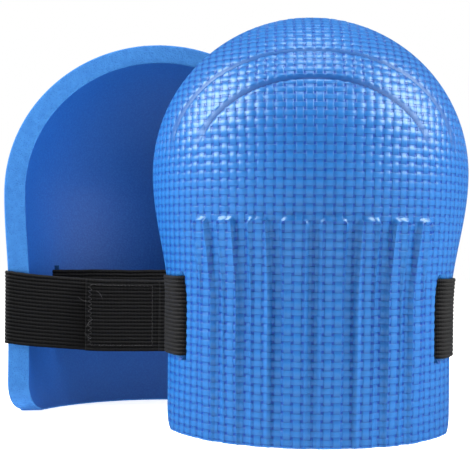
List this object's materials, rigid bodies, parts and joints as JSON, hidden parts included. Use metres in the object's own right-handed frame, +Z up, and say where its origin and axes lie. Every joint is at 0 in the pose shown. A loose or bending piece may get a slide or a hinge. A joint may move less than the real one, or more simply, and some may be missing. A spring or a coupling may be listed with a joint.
{
  "type": "pair of foam knee pads",
  "caption": "Domed foam knee pads with basket-weave embossing, moulded shin ribs and slotted sides that hold an elastic strap with a hook-and-loop free end.",
  "frame": {"origin": "middle of the pair's box, on the surface that both pads stand on", "axes": "+Z up, -Y towards the side that the right pad's front faces, +X along the row of the two pads"},
  "size_m": [0.2804, 0.1981, 0.2399],
  "materials": {
    "eva_foam": "satin embossed foam",
    "elastic_webbing": "ribbed elastic",
    "hook_tape": "hook tape",
    "loop_tape": "loop pile",
    "thread": "sewing thread"
  },
  "bodies": {
    "right_pad": {"right_foam_shell": "eva_foam", "right_strap": "elastic_webbing", "right_loop_tape": "loop_tape", "right_loop_stitching": "thread"},
    "right_free_end": {"right_strap_end": "elastic_webbing", "right_hook_tape": "hook_tape", "right_hook_stitching": "thread"},
    "left_pad": {"left_foam_shell": "eva_foam", "left_strap": "elastic_webbing", "left_loop_tape": "loop_tape", "left_loop_stitching": "thread"},
    "left_free_end": {"left_strap_end": "elastic_webbing", "left_hook_tape": "hook_tape", "left_hook_stitching": "thread"}
  },
  "joints": [
    {"name": "left_pad_apart", "type": "slide", "parent": "right_pad", "child": "left_pad", "axis": [-1, 0, 0], "range_m": [0, 0.12]},
    {"name": "right_strap_peel", "type": "hinge", "parent": "right_pad", "child": "right_free_end", "pos_m": [0.0518, -0.0219, 0.067], "axis": [0, 0, 1], "range_deg": [0, 150]},
    {"name": "left_strap_peel", "type": "hinge", "parent": "left_pad", "child": "left_free_end", "pos_m": [-0.04437, 0.02579, 0.067], "axis": [0, 0, 1], "range_deg": [0, 150]}
  ]
}
